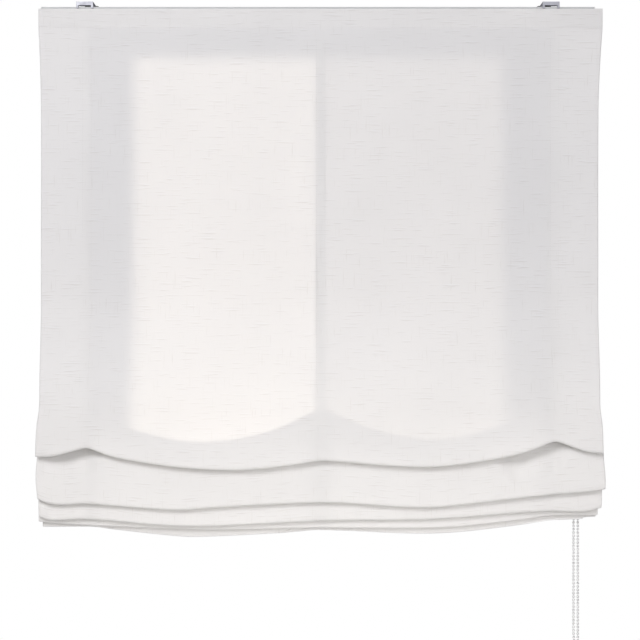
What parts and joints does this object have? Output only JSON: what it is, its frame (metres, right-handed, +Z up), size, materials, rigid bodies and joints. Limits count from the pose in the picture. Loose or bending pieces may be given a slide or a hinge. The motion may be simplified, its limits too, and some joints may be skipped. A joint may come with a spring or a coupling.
{
  "type": "roman blind",
  "caption": "Relaxed roman blind of slubbed off-white linen, part raised in soft folds, on a chain-driven headrail with snap-in ceiling brackets.",
  "frame": {"origin": "midway between the screw holes of the two ceiling brackets, on the brackets' top face, which meets the ceiling", "axes": "+X along the headrail to the right as seen from the room, +Y away from the room towards the window, +Z up"},
  "size_m": [1, 0.0949, 1.1535],
  "materials": {
    "linen": "slubbed linen weave, thin enough to let light through",
    "white_tape": "narrow woven tape",
    "cord": "braided cord",
    "weight": "bendable weight cord in a plain cover",
    "rail_metal": "white powder coat",
    "zinc": "zinc plated",
    "shaft_steel": "drawn square bar",
    "white_plastic": "moulded",
    "grey_plastic": "moulded",
    "black_plastic": "moulded",
    "clear_plastic": "clear, slightly milky",
    "chain_metal": "nickel plated"
  },
  "bodies": {
    "headrail": {"headrail": "rail_metal", "end_cap_left": "white_plastic", "end_cap_right": "white_plastic", "bracket_left": "zinc", "bracket_right": "zinc", "lever_rivet_left": "zinc", "lever_rivet_right": "zinc", "drive_housing": "white_plastic", "drive_cover": "white_plastic", "spool_cradle_left": "white_plastic", "spool_cradle_middle": "white_plastic", "spool_cradle_right": "white_plastic", "hook_tape": "white_tape", "loop_tape": "white_tape", "fabric": "linen", "lift_tape_left": "white_tape", "lift_tape_middle": "white_tape", "lift_tape_right": "white_tape", "lift_cord_left": "cord", "lift_cord_middle": "cord", "lift_cord_right": "cord", "bead_chain": "chain_metal", "chain_connector": "clear_plastic"},
    "drive": {"chain_wheel": "grey_plastic", "drive_shaft": "shaft_steel", "cord_spool_left": "grey_plastic", "cord_spool_middle": "grey_plastic", "cord_spool_right": "grey_plastic", "cord_winding_left": "cord", "cord_winding_middle": "cord", "cord_winding_right": "cord"},
    "stack": {"gathered_rings": "clear_plastic", "cord_locks": "white_plastic", "hem_weight": "weight"},
    "middle_row": {"middle_rings": "clear_plastic"},
    "upper_row": {"upper_rings": "clear_plastic"},
    "left_lever": {"lock_lever_left": "black_plastic"},
    "right_lever": {"lock_lever_right": "black_plastic"}
  },
  "joints": [
    {"name": "lift", "type": "slide", "parent": "headrail", "child": "stack", "axis": [0, 0, 1], "range_m": [-1.24, 0.55], "deforming": ["fabric", "lift_tape_left", "lift_tape_middle", "lift_tape_right", "lift_cord_left", "lift_cord_middle", "lift_cord_right"]},
    {"name": "shaft_turn", "type": "hinge", "parent": "headrail", "child": "drive", "pos_m": [0, 0, -0.0275], "axis": [1, 0, 0], "range_deg": [-3070, 6910], "deforming": ["bead_chain"]},
    {"name": "middle_row_rise", "type": "slide", "parent": "headrail", "child": "middle_row", "axis": [0, 0, 1], "range_m": [-0.88, 0.39]},
    {"name": "upper_row_rise", "type": "slide", "parent": "headrail", "child": "upper_row", "axis": [0, 0, 1], "range_m": [-0.168, 0.075]},
    {"name": "left_lever_turn", "type": "hinge", "parent": "headrail", "child": "left_lever", "pos_m": [-0.4133, 0.02, -0.005], "axis": [0, 0, 1], "range_deg": [0, 90]},
    {"name": "right_lever_turn", "type": "hinge", "parent": "headrail", "child": "right_lever", "pos_m": [0.4133, 0.02, -0.005], "axis": [0, 0, 1], "range_deg": [-90, 0]}
  ],
  "couplings": [
    {"joint": "shaft_turn", "follows": "lift", "rad_per_m": -97.087},
    {"joint": "middle_row_rise", "follows": "lift", "ratio": 0.706},
    {"joint": "upper_row_rise", "follows": "lift", "ratio": 0.135}
  ]
}
